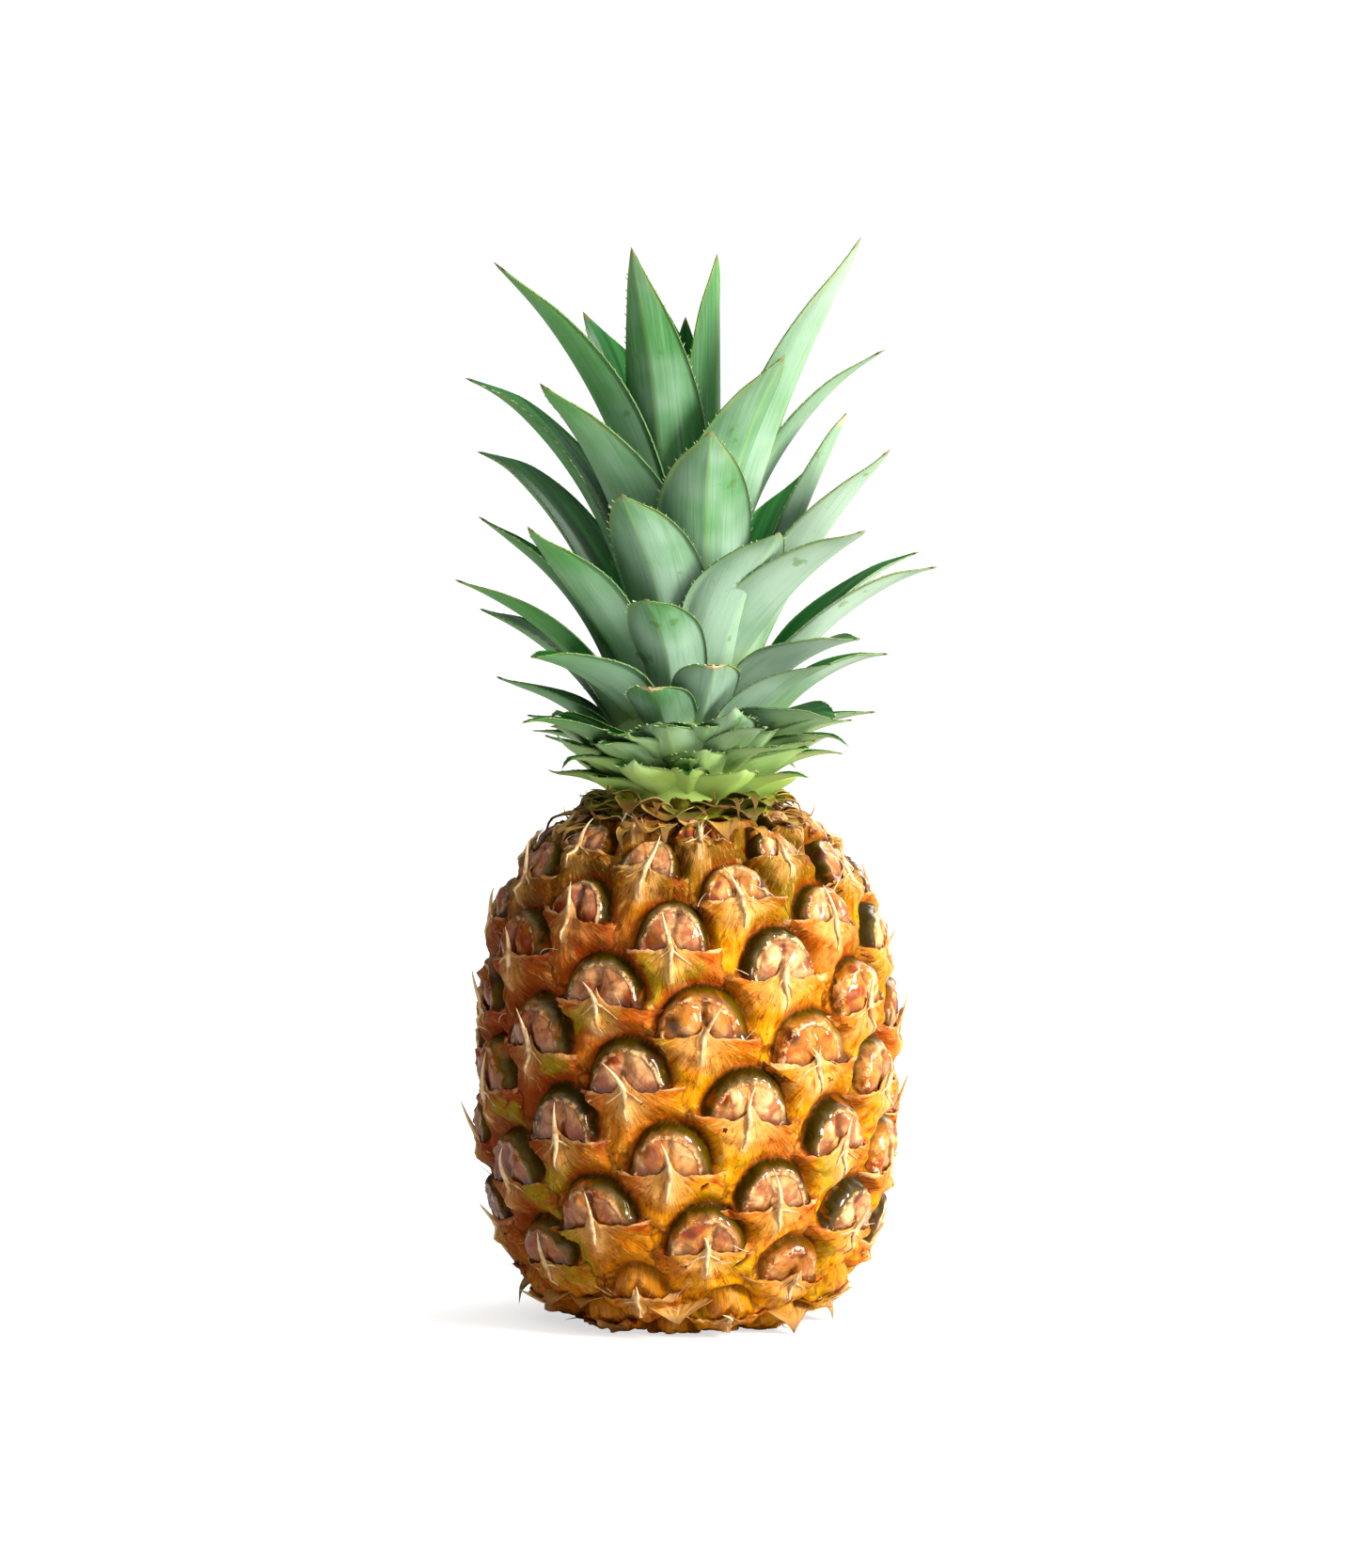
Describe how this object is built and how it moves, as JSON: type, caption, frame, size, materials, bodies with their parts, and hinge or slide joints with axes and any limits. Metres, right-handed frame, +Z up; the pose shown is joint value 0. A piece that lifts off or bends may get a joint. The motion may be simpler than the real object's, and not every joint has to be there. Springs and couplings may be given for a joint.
{
  "type": "pineapple",
  "caption": "Whole fresh pineapple with spiny, domed eyes and a crown of stiff channelled leaves, cut level at its base so that it stands upright.",
  "frame": {"origin": "centre of the cut stalk's face, on the surface that the fruit stands on", "axes": "+Z up along the stem to the crown, -Y to the front, +X to the right seen from the front"},
  "size_m": [0.1374, 0.1275, 0.309],
  "materials": {
    "rind": "satin, shiny on the domes of the eyes and dry on the bracts",
    "stalk": "matt, fibrous",
    "dry_bract": "matt, papery",
    "leaf": "satin, with a pale bloom on the backs"
  },
  "bodies": {
    "root": {"fruit": "rind", "cut_stalk": "stalk", "collar_bracts": "dry_bract", "crown": "leaf"}
  },
  "joints": []
}
